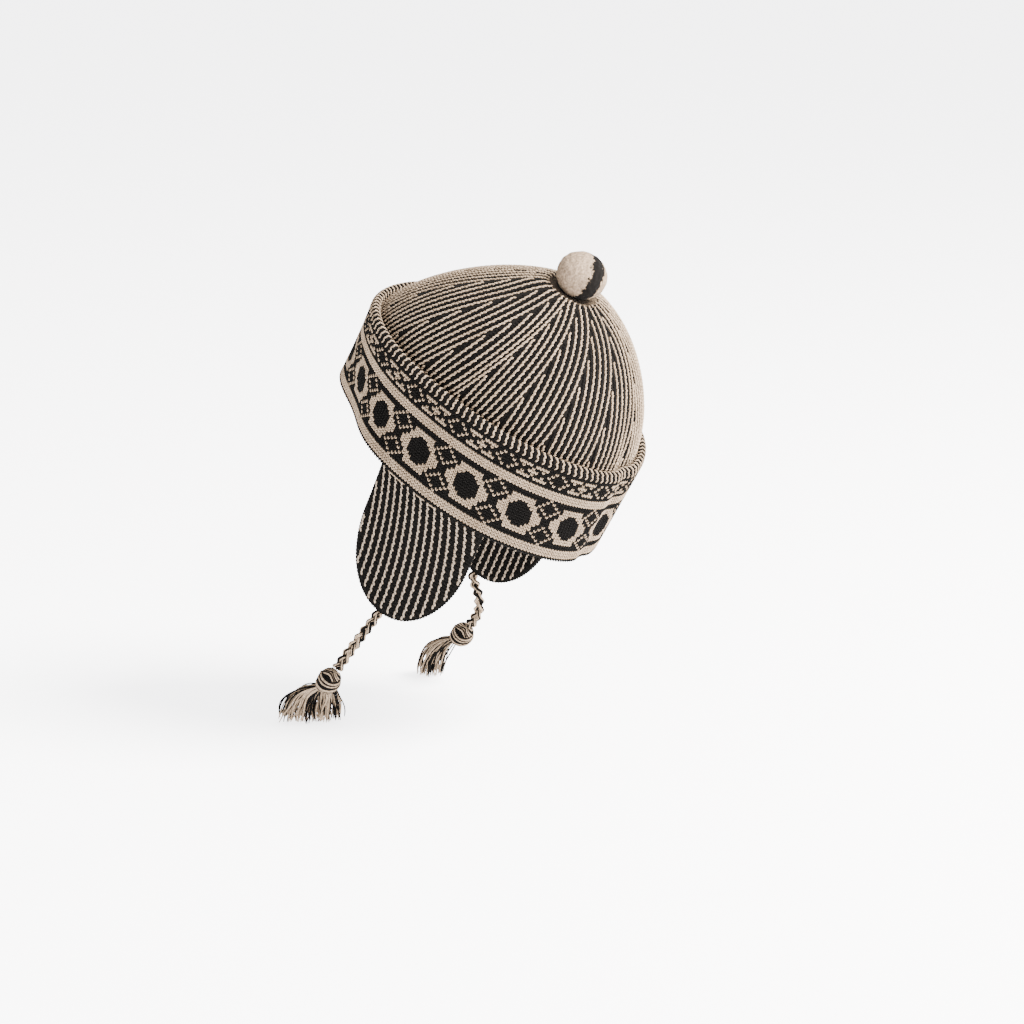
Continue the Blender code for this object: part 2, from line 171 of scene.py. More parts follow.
def wool(name, light, dark, fleck_scale=FLECK_SCALE, relief=FIBRE_RELIEF):
    """Matt wool yarn: flecked between two tones, with a fine bump of fibres."""
    material = bpy.data.materials.new(name)
    material.use_nodes = True
    tree = material.node_tree
    shader = tree.nodes["Principled BSDF"]
    shader.inputs["Roughness"].default_value = WOOL_ROUGHNESS
    shader.inputs["Specular IOR Level"].default_value = WOOL_SPECULAR
    shader.inputs["Sheen Weight"].default_value = WOOL_SHEEN
    shader.inputs["Sheen Roughness"].default_value = WOOL_SHEEN_ROUGHNESS
    start = Shade(tree)
    place = start.add("ShaderNodeTexCoord", output="Object")
    fleck = start.add("ShaderNodeTexNoise", None,
                      {"Vector": place, "Scale": fleck_scale, "Detail": 3.0, "Roughness": 0.6})
    blotch = start.add("ShaderNodeTexNoise", None, {"Vector": place, "Scale": BLOTCH_SCALE, "Detail": 2.0})
    tone = (fleck * FLECK_CONTRAST - FLECK_LEVEL + (blotch - 0.5) * BLOTCH_CONTRAST).clamped()
    colour = tone.mixed(dark, light)
    tree.links.new(colour.socket, shader.inputs["Base Color"])
    fibres = start.add("ShaderNodeTexNoise", None,
                       {"Vector": place, "Scale": FIBRE_SCALE, "Detail": 2.0, "Roughness": 0.7})
    bump = start.add("ShaderNodeBump", None,
                     {"Strength": relief, "Distance": FIBRE_HEIGHT * MM, "Height": fibres})
    tree.links.new(bump.socket, shader.inputs["Normal"])
    return material


beige_wool = wool("beige wool", BEIGE_LIGHT, BEIGE_DARK)
black_wool = wool("black wool", BLACK_LIGHT, BLACK_DARK)


def unit(vectors):
    return vectors / np.linalg.norm(vectors, axis=-1, keepdims=True)


def walk_along(points):
    """Distance along a line of points, from the first one to each."""
    return np.concatenate([[0.0], np.cumsum(np.linalg.norm(np.diff(points, axis=0), axis=1))])


def smooth_route(points, spacing):
    """Evenly spaced points on a smooth curve through the route's own points, and its length."""
    ends = np.vstack([points[0] * 2 - points[1], points, points[-1] * 2 - points[-2]])
    dense = []
    for before, start, end, after in zip(ends, ends[1:], ends[2:], ends[3:]):
        for t in np.arange(CURVE_STEPS) / CURVE_STEPS:
            dense.append(0.5 * (2 * start + (end - before) * t
                                + (2 * before - 5 * start + 4 * end - after) * t ** 2
                                + (3 * start - before - 3 * end + after) * t ** 3))
    dense = np.array(dense + [points[-1]])
    walked = walk_along(dense)
    even = np.linspace(0.0, walked[-1], max(int(round(walked[-1] / spacing)), 2) + 1)
    return np.stack([np.interp(even, walked, dense[:, axis]) for axis in range(3)], axis=1), walked[-1]


def yarns(name, paths, radius, colours):
    """Wool yarns as round tubes along their paths, in one mesh; each path is BEIGE or BLACK."""
    bpy.ops.object.select_all(action="DESELECT")
    curve = bpy.data.curves.new(name, "CURVE")
    curve.dimensions = "3D"
    curve.bevel_depth = radius * MM
    curve.bevel_resolution = 1
    curve.use_fill_caps = True
    curve.materials.append(beige_wool)
    curve.materials.append(black_wool)
    for path, colour in zip(paths, colours):
        spline = curve.splines.new("POLY")
        spline.material_index = colour
        spline.points.add(len(path) - 1)
        flat = np.ones((len(path), 4))
        flat[:, :3] = np.asarray(path) * MM
        spline.points.foreach_set("co", flat.ravel())
        taper = np.ones(len(path))
        taper[-1] = YARN_END_SHARE
        spline.points.foreach_set("radius", taper)
        spline.use_smooth = True
    piece = bpy.data.objects.new(name, curve)
    bpy.context.scene.collection.objects.link(piece)
    piece.select_set(True)
    bpy.context.view_layer.objects.active = piece
    bpy.ops.object.convert(target="MESH")
    bpy.ops.object.mode_set(mode="EDIT")
    bpy.ops.mesh.select_all(action="SELECT")
    bpy.ops.mesh.remove_doubles(threshold=0.001 * MM)
    bpy.ops.mesh.normals_make_consistent(inside=False)
    bpy.ops.object.mode_set(mode="OBJECT")
    return bpy.context.view_layer.objects.active


def tie_route(side):
    points = TIE_START + np.array(TIE_STEPS[side])
    if side == "right":
        points[:, 0] *= -1
    return points


tie_pieces = {}
for side in ("left", "right"):
    route, route_length = smooth_route(tie_route(side), ROUTE_SPACING)
    ahead = unit(np.gradient(route, axis=0))
    across = unit(np.cross(ahead, SIDE))
    outward = np.cross(across, ahead)
    walked = np.linspace(0.0, route_length, len(route))
    narrow = BRAID_START_SHARE + (1 - BRAID_START_SHARE) * walked / route_length
    paths = []
    colours = []
    for strand in range(BRAID_STRANDS):
        turn = 2 * math.pi * (walked / BRAID_PERIOD + strand / BRAID_STRANDS)
        centre = route + across * (BRAID_HALF_WIDTH * narrow * np.sin(turn))[:, None]
        centre = centre + outward * (BRAID_HALF_DEPTH * np.sin(2 * turn))[:, None]
        for yarn in range(len(STRAND_COLOURS)):
            spin = turn * STRAND_TWIST + yarn * 2 * math.pi / len(STRAND_COLOURS)
            shift = across * np.cos(spin)[:, None] + outward * np.sin(spin)[:, None]
            paths.append(centre + shift * STRAND_SPREAD * narrow[:, None])
            colours.append(STRAND_COLOURS[(yarn + 2 * strand) % len(STRAND_COLOURS)])
    braid = yarns(side + "_tie_braid", paths, BRAID_YARN_RADIUS, colours)
    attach(braid, "root")
    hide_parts(side + "_tie")
    tie_pieces[side] = (braid, route, route_length)

# Knots: the whole braid is tied in one overhand knot. Its yarns lie side by side in a wide wrap round a firm
# lump, and a second, narrower wrap crosses over it the other way.
KNOT_CENTRES = {"left": (59.88, -57.86, -134.58), "right": (-67.30, -41.53, -133.05)}
KNOT_HEADINGS = {"left": (0.0969, -0.5816, -0.8077), "right": (-0.1699, -0.6796, -0.7136)}
KNOT_RADIUS = 6.1
KNOT_HALF_LENGTH = 8.6
KNOT_END = 0.97 * KNOT_HALF_LENGTH
KNOT_CORE_INSET = 0.3
KNOT_YARN_RADIUS = 0.55
KNOT_YARN_SPACING = 0.85
KNOT_YARN_POINTS = 28
KNOT_COLOURS = (BEIGE, BLACK, BLACK, BEIGE, BLACK)
KNOT_WRAPS = (
    # lean, yarns, share of the radius, first angle, angle covered
    (0.75, 20, 1.0, 0.0, 2 * math.pi),
    (-0.55, 13, 1.09, 2.0, 1.15 * math.pi),
)
KNOT_LEAN_FADE = 11.0
KNOT_LUMP = 0.08
KNOT_LUMP_DRIFT = 0.9
KNOT_LUMP_ANGLE = 1.3
KNOT_SCATTER = 0.02
KNOT_SEED = 3

for side in ("left", "right"):
    draw = np.random.default_rng(KNOT_SEED)
    centre = np.array(KNOT_CENTRES[side])
    heading = unit(np.array(KNOT_HEADINGS[side]))
    first = unit(np.cross(heading, SIDE))
    second = np.cross(heading, first)
    paths = []
    colours = []
    for wrap, (lean, yarn_count, wrap_size, first_angle, sweep) in enumerate(KNOT_WRAPS):
        turn = first_angle + np.linspace(0, sweep, KNOT_YARN_POINTS)
        for yarn in range(yarn_count):
            offset = (yarn - (yarn_count - 1) / 2) * KNOT_YARN_SPACING
            along = offset + lean * KNOT_HALF_LENGTH * np.sin(turn) * (1 - abs(offset) / KNOT_LEAN_FADE)
            along = np.clip(along, -KNOT_END, KNOT_END)
            lump = 1 + KNOT_LUMP * np.sin(2 * turn + KNOT_LUMP_DRIFT * yarn / yarn_count + KNOT_LUMP_ANGLE)
            lump = lump + draw.normal(0, KNOT_SCATTER)
            ring = KNOT_RADIUS * wrap_size * lump * np.sqrt(1 - (along / KNOT_HALF_LENGTH) ** 2)
            path = centre + heading * along[:, None]
            path = path + first * (ring * np.cos(turn))[:, None] + second * (ring * np.sin(turn))[:, None]
            paths.append(path)
            colours.append(KNOT_COLOURS[(yarn + 2 * wrap) % len(KNOT_COLOURS)])
    knot = yarns(side + "_knot_yarns", paths, KNOT_YARN_RADIUS, colours)
    bpy.ops.object.select_all(action="DESELECT")
    bpy.ops.mesh.primitive_uv_sphere_add(segments=20, ring_count=12, radius=1.0)
    core = bpy.context.active_object
    core.name = side + "_knot_core"
    to_knot = np.stack([first * (KNOT_RADIUS - KNOT_CORE_INSET), second * (KNOT_RADIUS - KNOT_CORE_INSET),
                        heading * (KNOT_HALF_LENGTH - KNOT_CORE_INSET)], axis=1)
    core.data.transform(Matrix.LocRotScale(Vector(centre) * MM, None, None) @ Matrix(to_knot * MM).to_4x4())
    core.data.materials.append(black_wool)
    core.data.shade_smooth()
    core.select_set(True)
    knot.select_set(True)
    bpy.context.view_layer.objects.active = knot
    bpy.ops.object.join()
    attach(knot, "root")
    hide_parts(side + "_knot")

# Tassels: below its knot the braid comes apart into the loose yarns that it was plaited from. They spread
# in a fan, and their cut ends reach the table or stop just above it.
TABLE_Z = -166.0
TASSEL_ROOTS = {"left": (60.3, -60.6, -138.6), "right": (-68.1, -44.8, -136.5)}
TASSEL_FEET = {
    # x, y, half width and half depth of the fan, as the camera sees it
    "left": (48.0, -79.5, 21.5, 14.0),
    "right": (-75.0, -70.0, 9.5, 9.0),
}
TASSEL_YARNS = {"left": 190, "right": 110}
TASSEL_SEEDS = {"left": 7, "right": 11}
TASSEL_YARN_RADIUS = 0.43
TASSEL_YARN_POINTS = 12
TASSEL_ROOT_SPREAD = 2.6
GOLDEN_TURN = 0.381966
FAN_REACH = (0.85, 1.08)
TIP_LIFT = 1.6
OUTER_TIP_LIFT = 3.5
OUTER_TIP_START = 0.8
BEND_PLACE = (0.9, 0.9, 0.16)
BEND_REACH = (0.75, 1.1)
BEND_SCATTER = 2.0
WAVE_SPEED = (6, 11)
WAVE_START = (0, 6)
WAVE_SIZE = (0.4, 1.7)
LOCKS_AROUND = 5
LOCKS_OUTWARD = 4
LOCK_SCATTER = 0.7
BLACK_LOCK_LEVEL = -0.05

wide = np.array((math.cos(VIEW_AZIMUTH), math.sin(VIEW_AZIMUTH), 0.0))
deep = np.array((-math.sin(VIEW_AZIMUTH), math.cos(VIEW_AZIMUTH), 0.0))
lowest = TABLE_Z + TASSEL_YARN_RADIUS
for side in ("left", "right"):
    draw = np.random.default_rng(TASSEL_SEEDS[side])
    root = np.array(TASSEL_ROOTS[side])
    foot_x, foot_y, reach, depth = TASSEL_FEET[side]
    paths = []
    colours = []
    for yarn in range(TASSEL_YARNS[side]):
        angle = 2 * math.pi * (yarn * GOLDEN_TURN % 1.0)
        far = math.sqrt((yarn + 0.5) / TASSEL_YARNS[side]) * draw.uniform(*FAN_REACH)
        tip = np.array((foot_x, foot_y, lowest))
        tip = tip + wide * math.cos(angle) * reach * far + deep * math.sin(angle) * depth * far
        tip[2] += abs(draw.normal(0.0, TIP_LIFT)) + OUTER_TIP_LIFT * max(far - OUTER_TIP_START, 0.0)
        start = root + (wide * math.cos(angle) + deep * math.sin(angle)) * TASSEL_ROOT_SPREAD * far
        bend = start + (tip - start) * np.array(BEND_PLACE) * draw.uniform(*BEND_REACH)
        bend = bend + draw.normal(0.0, BEND_SCATTER, 3)
        t = np.linspace(0, 1, TASSEL_YARN_POINTS)[:, None]
        path = start * (1 - t) ** 2 + bend * 2 * t * (1 - t) + tip * t ** 2
        wave = np.sin(t * draw.uniform(*WAVE_SPEED) + draw.uniform(*WAVE_START)) * t
        path = path + wide * wave * draw.uniform(*WAVE_SIZE)
        path[:, 2] = np.maximum(path[:, 2], lowest)
        paths.append(path)
        lock = math.sin(LOCKS_AROUND * angle + LOCKS_OUTWARD * far) + draw.normal(0.0, LOCK_SCATTER)
        colours.append(BLACK if lock > BLACK_LOCK_LEVEL else BEIGE)
    tassel = yarns(side + "_tassel_yarns", paths, TASSEL_YARN_RADIUS, colours)
    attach(tassel, "root")
    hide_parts(side + "_tassel")
    braid, route, route_length = tie_pieces[side]
    tuple(route[0] * MM)
    route_length * MM
    [tuple(point * MM) for point in route]

# Cuff: the turned-up edge of the hat, knitted in fine stitches from a small repeat: rings and dotted rosettes
# between two plain beige stripes, and small crosses above them. Every stitch is a pair of slanted legs on the
# packed wall.
SIDE_HALF_WIDTH = 74.0
FRONT_HALF_LENGTH = 95.7
BACK_HALF_LENGTH = 98.7
FRONT_SQUARENESS = 2.3
BACK_SQUARENESS = 2.2
TOP_FRONT_SHARE = 0.945
TOP_BACK_SHARE = 0.987
TOP_SIDE_SHARE = 1.01
CUFF_HEIGHT = 64.4
WALL_GAP = 0.4
ROLL_WIDTH = 6.2
ROLL_HEIGHT = 6.0
ROLL_DROP = 2.0
ROLL_START = CUFF_HEIGHT - ROLL_HEIGHT
TEMPLE_HOLLOW = 0.2
TEMPLE_ANGLE = 135.0
TEMPLE_SPREAD = 32.0
BACK_DIP = 3.2
DIP_SPREAD = 25.0
SEAM_CREASE = 1.6
CREASE_SPREAD = 3.5
RING_STEPS = 1440
ANGLE_STEP = 0.002
MOTIFS_AROUND = 16
STITCHES_PER_MOTIF = 16
FIRST_RING = 34.0
RING_COLUMN = 8
SIDE_STRETCH = 4.5
KNIT_LEAN = 0.07
BACK_KNIT_LEAN = 0.13
LEG_OFFSET = 0.24
LEG_LEAN = 0.42
LEG_HALF_WIDTH = 0.28
LEG_HALF_THICKNESS = 0.5
LEG_HALF_LENGTH = 0.68
LONE_STITCH_SHRINK = 0.18
CUFF_LIFTS = {"beige": 0.10, "black": 0.12}
CHART_HEIGHT = 24.0

RING_CHART = (
    "#...............",
    ".#.............#",
    "..#..#######..#.",
    "...#.#######.#..",
    "..#.###...###.#.",
    ".#..##.....##..#",
    "#..##.......##..",
    "..###.......###.",
    "..###.......###.",
    "..###.......###.",
    "#..##.......##..",
    ".#..##.....##..#",
    "..#.###...###.#.",
    "...#.#######.#..",
    "..#..#######..#.",
    ".#.............#",
    "#...............",
)
CROSS_CHART = (
    "................",
    ".#..####.####..#",
    "..#..#..#..#..#.",
    "...#...###...#..",
    "..#..#..#..#..#.",
    ".#..####.####..#",
    "................",
)
PLAIN_BLACK = ("................",)
PLAIN_BEIGE = ("################",)
CUFF_BANDS = (
    # bottom_mm, top_mm, rows, chart
    (0.2, 2.2, 1, PLAIN_BLACK),
    (2.2, 8.1, 3, PLAIN_BEIGE),
    (8.1, 39.5, 17, RING_CHART),
    (39.5, 45.1, 3, PLAIN_BEIGE),
    (45.1, 58.4, 7, CROSS_CHART),
)


def signed_power(value, exponent):
    return np.sign(value) * np.abs(value) ** exponent


def seam_distance(angle):
    """Unsigned angle from the back seam."""
    return np.abs(np.arctan2(np.sin(angle), np.cos(angle)))


def swell(value, centre_degrees, spread_degrees):
    return np.exp(-((value - math.radians(centre_degrees)) / math.radians(spread_degrees)) ** 2)


def half_sizes(height):
    share = height / CUFF_HEIGHT
    return (FRONT_HALF_LENGTH * (1 + (TOP_FRONT_SHARE - 1) * share),
            BACK_HALF_LENGTH * (1 + (TOP_BACK_SHARE - 1) * share),
            SIDE_HALF_WIDTH * (1 + (TOP_SIDE_SHARE - 1) * share))


def placed(length, width, height):
    """Points in the row frame from lengths along the hat's own back, side and axis."""
    length, width, height = np.broadcast_arrays(length, width, height)
    return BACK * length[..., None] + SIDE * width[..., None] + AXIS * height[..., None]


def wall_point(angle, height, inset=0.0):
    """The hat's wall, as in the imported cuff: angle from the back seam, height above the rim, inset."""
    front, back, side_half = half_sizes(np.maximum(height, 0.0))
    away = seam_distance(angle)
    at_back = np.cos(angle) > 0
    along = np.where(at_back, back, front) - inset
    squareness = np.where(at_back, BACK_SQUARENESS, FRONT_SQUARENESS)
    low_share = 1.0 - np.clip(height / CUFF_HEIGHT, 0.0, 1.0)
    hollow = 1.0 - TEMPLE_HOLLOW * swell(away, TEMPLE_ANGLE, TEMPLE_SPREAD) * low_share
    crease = SEAM_CREASE * swell(away, 0.0, CREASE_SPREAD)
    length = (along - crease) * signed_power(np.cos(angle), 2 / squareness) * hollow
    width = (side_half - inset) * signed_power(np.sin(angle), 2 / squareness) * hollow
    return placed(length, width, height - BACK_DIP * swell(away, 0.0, DIP_SPREAD))


def roll_point(angle, turn):
    """The rolled top edge of the cuff: turn runs from 0 at its outer foot to 1 at its inner one."""
    bend = math.pi * turn
    inward = ROLL_WIDTH / 2 - ROLL_WIDTH / 2 * np.cos(bend)
    rise = ROLL_HEIGHT * np.sin(bend) - ROLL_DROP * turn * np.sin(bend / 2)
    return wall_point(angle, ROLL_START + rise, inward)


def surface_frame(surface, angle, rise, step):
    """Points on a surface of angle and rise, with its upward, sideways and outward directions."""
    around = unit(surface(angle + ANGLE_STEP, rise) - surface(angle - ANGLE_STEP, rise))
    upward = unit(surface(angle, rise + step) - surface(angle, rise - step))
    return surface(angle, rise), upward, around, unit(np.cross(upward, around))


def stitch_shape(segments, rings):
    """The corners and triangles of one plump stitch leg, a pointed grain of unit size."""
    bpy.ops.object.select_all(action="DESELECT")
    bpy.ops.mesh.primitive_uv_sphere_add(segments=segments, ring_count=rings, radius=1.0)
    grain = bpy.context.active_object
    bpy.ops.object.mode_set(mode="EDIT")
    bpy.ops.mesh.select_all(action="SELECT")
    bpy.ops.mesh.quads_convert_to_tris()
    bpy.ops.object.mode_set(mode="OBJECT")
    corners = np.array([corner.co[:] for corner in grain.data.vertices])
    faces = np.array([face.vertices[:] for face in grain.data.polygons])
    bpy.data.objects.remove(grain)
    return corners, faces


def lay_stitches(name, shape, batches, material):
    """One piece of many copies of a stitch leg, laid on a surface. Each batch has the legs' centres, upward
    and outward directions, and half sizes in mm."""
    centres, ups, normals, sizes = (np.vstack(parts) for parts in zip(*batches))
    corners, faces = shape
    ups = unit(ups - normals * np.sum(ups * normals, axis=1, keepdims=True))
    sides = np.cross(normals, ups)
    width, thickness, length = sizes.T[..., None, None]
    points = (centres[:, None, :]
              + sides[:, None, :] * corners[None, :, 0:1] * width
              + normals[:, None, :] * corners[None, :, 1:2] * thickness
              + ups[:, None, :] * corners[None, :, 2:3] * length)
    triangles = faces[None] + (np.arange(len(centres)) * len(corners))[:, None, None]
    mesh = bpy.data.meshes.new(name)
    mesh.from_pydata(points.reshape(-1, 3) * MM, [], triangles.reshape(-1, 3))
    mesh.materials.append(material)
    mesh.shade_smooth()
    piece = bpy.data.objects.new(name, mesh)
    bpy.context.scene.collection.objects.link(piece)
    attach(piece, "root")


def turned(ups, normals, angle):
    """Directions turned in their surface by an angle, one number or one for each."""
    sides = np.cross(normals, ups)
    angle = np.broadcast_to(angle, len(ups))[:, None]
    return ups * np.cos(angle) + sides * np.sin(angle)


fine_grain = stitch_shape(4, 3)
plump_grain = stitch_shape(5, 4)

ring_angles = np.linspace(0, 2 * math.pi, RING_STEPS + 1)
girth_walk = walk_along(wall_point(ring_angles, CHART_HEIGHT))
CUFF_GIRTH = girth_walk[-1]
STITCH_WIDTH = CUFF_GIRTH / MOTIFS_AROUND / STITCHES_PER_MOTIF


def angle_at(walk):
    """Angle from the back seam after walking that far round the cuff, towards the wearer's left."""
    return np.interp(np.mod(walk, CUFF_GIRTH), girth_walk, ring_angles)


def column_walk(column, height):
    """How far round the cuff a column of stitches stands; the knit is stretched and leans unevenly."""
    even = FIRST_RING + (column - RING_COLUMN) * STITCH_WIDTH
    turn = 2 * math.pi * even / CUFF_GIRTH
    lean = KNIT_LEAN + BACK_KNIT_LEAN * np.cos(turn)
    return even - SIDE_STRETCH * np.cos(turn) + lean * (height - CHART_HEIGHT)


rows = []
for bottom, top, row_count, chart in CUFF_BANDS:
    row_height = (top - bottom) / row_count
    for row in range(row_count):
        line = chart[len(chart) - 1 - row % len(chart)]
        rows.append((bottom + row_height * (row + 0.5), row_height, line))
columns = np.arange(MOTIFS_AROUND * STITCHES_PER_MOTIF)
legs = {"beige": [], "black": []}
for height, row_height, line in rows:
    is_beige = np.array([line[column % STITCHES_PER_MOTIF] == "#" for column in columns])
    is_alone = (is_beige & ~np.roll(is_beige, 1) & ~np.roll(is_beige, -1))[:, None]
    walk = column_walk(columns, height)
    lean = (column_walk(columns, height + 1) - walk)[:, None]
    leg_size = (LEG_HALF_WIDTH * STITCH_WIDTH, LEG_HALF_THICKNESS, LEG_HALF_LENGTH * row_height)
    size = np.array([leg_size]) * (1 - LONE_STITCH_SHRINK * is_alone)
    for leg in (-1, 1):
        angle = angle_at(walk + leg * STITCH_WIDTH * LEG_OFFSET)
        point, upward, around, normal = surface_frame(wall_point, angle, height, 0.3)
        upward = turned(unit(upward + around * lean), normal, leg * LEG_LEAN)
        for colour, chosen in (("beige", is_beige), ("black", ~is_beige)):
            centre = point[chosen] + normal[chosen] * CUFF_LIFTS[colour]
            legs[colour].append((centre, upward[chosen], normal[chosen], size[chosen]))
lay_stitches("cuff_beige_stitches", fine_grain, legs["beige"], beige_wool)
lay_stitches("cuff_black_stitches", fine_grain, legs["black"], black_wool)

# Rolled edge: where the knit folds over, the two wools alternate stitch by stitch, and the rows lean one
# way and then the other, so the edge reads as a row of small zigzags.
ROLL_ROWS = 10
ROLL_LEAN = 0.62
ROLL_ROW_HEIGHT = 1.45
ROLL_STITCH_THICKNESS = 0.62
ROLL_STITCH_LENGTH = 0.8

roll_legs = {"beige": [], "black": []}
is_beige = columns % 2 == 0
roll_wools = (
    # colour, its columns, half width, lift
    ("beige", is_beige, 0.62, 0.12),
    ("black", ~is_beige, 0.8, 0.0),
)
for row in range(ROLL_ROWS):
    angle = angle_at(column_walk(columns, ROLL_START + row * ROLL_ROW_HEIGHT))
    point, upward, around, normal = surface_frame(roll_point, angle, (row + 0.5) / ROLL_ROWS, 0.02)
    upward = turned(upward, normal, ROLL_LEAN * (1 if row % 2 else -1))
    for colour, chosen, half_width, lift in roll_wools:
        size = np.tile((half_width, ROLL_STITCH_THICKNESS, ROLL_ROW_HEIGHT * ROLL_STITCH_LENGTH),
                       (len(columns), 1))
        centre = point[chosen] + normal[chosen] * lift
        roll_legs[colour].append((centre, upward[chosen], normal[chosen], size[chosen]))
lay_stitches("roll_beige_stitches", plump_grain, roll_legs["beige"], beige_wool)
lay_stitches("roll_black_stitches", plump_grain, roll_legs["black"], black_wool)

# Crown: narrow beige ribs stand on black knit and run up the dome. In each of sixteen wedges the ribs end
# one after the other against a line of decreases, and the last of them are gathered under the ball.
CROWN_HEIGHT = 134.6
CROWN_BACK_SHIFT = 11.4
LENGTH_ROUNDNESS = 1.48
WIDTH_ROUNDNESS = 2.9
TOP_ROUNDNESS = 1.5
GATHER_RADIUS = 19.0
GATHER_DEPTH = 7.1
PUCKER_HEIGHT = 1.6
PUCKER_RADIUS = 9.0
PUCKER_REACH = 27.0
PUCKER_ANGLE = math.radians(128)
RIBS_PER_WEDGE = 8
BASE_PITCHES = 8.2
LAST_PITCHES = 2.0
MIDDLE_WIDENING = 0.115
FIRST_LINE = 34.2
LINE_STRETCH = 7.0
LINE_STRETCH_TURN = math.radians(20)
LOW_SWIRL = math.radians(20.8)
TOP_SWIRL = math.radians(14.0)
SWIRL_TURN = math.radians(30)
RIB_END = 0.1
RIB_TOP = 0.955
SHORTEST_RIB = 2.5
CROWN_RIBS = (
    # colour, place in its pitch, half width in pitches, lift
    ("beige", 0.5, 0.168, 0.25),
    ("black", 1.0, 0.28, -0.1),
)
BEAD_SPACING = 1.95
BEAD_LEAN = -0.3
BEAD_SWING = 0.2
BEAD_SHIFT = 0.14
BEAD_THICKNESS = 0.2
THICKEST_BEAD = 0.75
BEAD_LENGTH = 0.7


def dome_point(angle, share):
    """The crown above the cuff, as packed: share runs from 0 at the roll to 1 at the top."""
    front, back, side_half = half_sizes(ROLL_START)
    base_inset = ROLL_WIDTH + WALL_GAP
    share = np.clip(share, 0.0, 1.0)
    at_back = np.cos(angle) > 0
    along = np.where(at_back, back, front) - base_inset
    squareness = np.where(at_back, BACK_SQUARENESS, FRONT_SQUARENESS)
    squareness = squareness + (2.0 - squareness) * share
    shrink_length = (1 - share ** LENGTH_ROUNDNESS) ** (1 / TOP_ROUNDNESS)
    shrink_width = (1 - share ** WIDTH_ROUNDNESS) ** (1 / TOP_ROUNDNESS)
    crease = SEAM_CREASE * swell(seam_distance(angle), 0.0, CREASE_SPREAD) * (1 - share) ** 2
    length = (along - crease) * shrink_length * signed_power(np.cos(angle), 2 / squareness)
    width = (side_half - base_inset) * shrink_width * signed_power(np.sin(angle), 2 / squareness)
    height = ROLL_START + (CROWN_HEIGHT - ROLL_START) * share
    away = np.hypot(length, width)
    height = height - GATHER_DEPTH * np.clip(1 - (away / GATHER_RADIUS) ** 2, 0, 1) ** 2
    off_pucker = np.hypot(length - PUCKER_REACH * math.cos(PUCKER_ANGLE),
                          width - PUCKER_REACH * math.sin(PUCKER_ANGLE))
    height = height + PUCKER_HEIGHT * np.exp(-(off_pucker / PUCKER_RADIUS) ** 2)
    seam_dip = BACK_DIP * swell(seam_distance(angle), 0.0, DIP_SPREAD) * (1 - share) ** 3
    return placed(length + CROWN_BACK_SHIFT * share, width, height - seam_dip)


# Shares of the crown's height, closer together towards the top, with the girth and the rib pitch at each.
share_table = 1 - (1 - np.linspace(0, 0.9985, 500)) ** 1.8
dome_girths = np.array([walk_along(dome_point(ring_angles[::6], share))[-1] for share in share_table])
rib_pitch = (dome_girths[0] / MOTIFS_AROUND / BASE_PITCHES
             * (1 + MIDDLE_WIDENING * np.sin(math.pi * share_table ** 0.8)))
pitches_left = np.maximum(dome_girths / MOTIFS_AROUND / rib_pitch, LAST_PITCHES)
real_pitch = dome_girths / MOTIFS_AROUND / pitches_left
base_walk = walk_along(dome_point(ring_angles, 0.0))
base_girth = base_walk[-1]


def wedge_start(wedge):
    """Distance round the crown's foot from the back seam to the line of decreases that starts a wedge."""
    even = FIRST_LINE + wedge * base_girth / MOTIFS_AROUND
    return even - LINE_STRETCH * (1 - math.cos(2 * math.pi * even / base_girth - LINE_STRETCH_TURN))


def rib_line(wedge, place):
    """Evenly spaced places up one rib, from the cuff to its end: angles, shares of height and pitches."""
    ok = (place + RIB_END <= pitches_left) & (share_table < RIB_TOP)
    shares = share_table[ok]
    if len(shares) < 4:
        return None
    start = wedge_start(wedge)
    walk = start + (wedge_start(wedge + 1) - start) * place / pitches_left[ok]
    laps = np.floor(walk / base_girth)
    angles = np.interp(walk - laps * base_girth, base_walk, ring_angles) + laps * 2 * math.pi
    swirl = LOW_SWIRL * shares + TOP_SWIRL * shares ** 3
    angles = angles - swirl * (0.5 + 0.5 * np.cos(angles - SWIRL_TURN))
    walked = walk_along(dome_point(angles, shares))
    if walked[-1] < BEAD_SPACING * SHORTEST_RIB:
        return None
    even = np.arange(BEAD_SPACING / 2, walked[-1], BEAD_SPACING)
    return (np.interp(even, walked, angles), np.interp(even, walked, shares),
            np.interp(even, walked, real_pitch[ok]))


beads = {"beige": [], "black": []}
for wedge in range(MOTIFS_AROUND):
    for rib in range(RIBS_PER_WEDGE):
        for colour, rib_place, half_width, lift in CROWN_RIBS:
            found = rib_line(wedge, rib + rib_place)
            if found is None:
                continue
            angles, shares, pitches = found
            point = dome_point(angles, shares)
            ahead = unit(np.gradient(point, axis=0))
            around = unit(dome_point(angles + 0.01, shares) - dome_point(angles - 0.01, shares))
            normal = unit(np.cross(ahead, around))
            zigzag = np.where(np.arange(len(angles)) % 2, 1.0, -1.0)
            point = point + np.cross(normal, ahead) * (BEAD_SHIFT * zigzag)[:, None]
            ahead = turned(ahead, normal, BEAD_LEAN + BEAD_SWING * zigzag)
            size = np.stack([pitches * half_width, np.minimum(pitches * BEAD_THICKNESS, THICKEST_BEAD),
                             np.full(len(pitches), BEAD_SPACING * BEAD_LENGTH)], axis=1)
            beads[colour].append((point + normal * lift, ahead, normal, size))
lay_stitches("crown_beige_ribs", plump_grain, beads["beige"], beige_wool)
lay_stitches("crown_black_ribs", fine_grain, beads["black"], black_wool)

